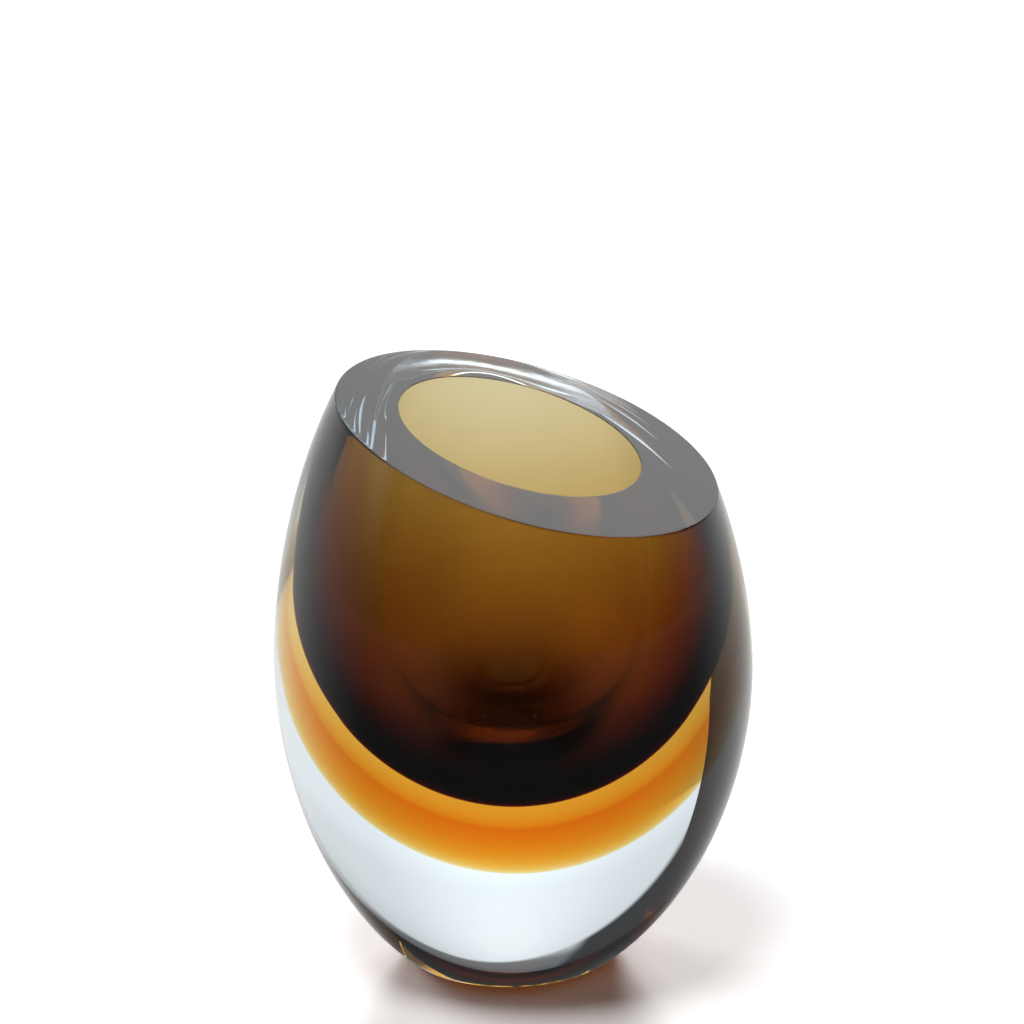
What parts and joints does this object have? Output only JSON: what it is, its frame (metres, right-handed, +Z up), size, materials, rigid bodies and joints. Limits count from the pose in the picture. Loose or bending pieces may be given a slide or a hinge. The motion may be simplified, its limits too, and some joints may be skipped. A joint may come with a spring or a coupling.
{
  "type": "cased glass vase",
  "caption": "Egg-shaped, thick-walled cased glass vase with a slanted polished mouth and a flat ground base.",
  "frame": {"origin": "centre of the flat ground base", "axes": "+Z up along the vase, -Y towards the viewer, the mouth's high side towards -X and +Y"},
  "size_m": [0.15, 0.15, 0.1887],
  "materials": {
    "clear_casing_glass": "clear crystal, fire polished outside, mouth and base ground and polished",
    "amber_glass": "transparent amber, fused between clear gathers",
    "clear_gather_glass": "clear crystal, fused between the smoke and the amber glass",
    "smoke_brown_glass": "transparent smoky brown, glossy inside the bowl"
  },
  "bodies": {
    "root": {"clear_outer_casing": "clear_casing_glass", "amber_gather": "amber_glass", "clear_inner_gather": "clear_gather_glass", "smoke_brown_cup": "smoke_brown_glass"}
  },
  "joints": []
}
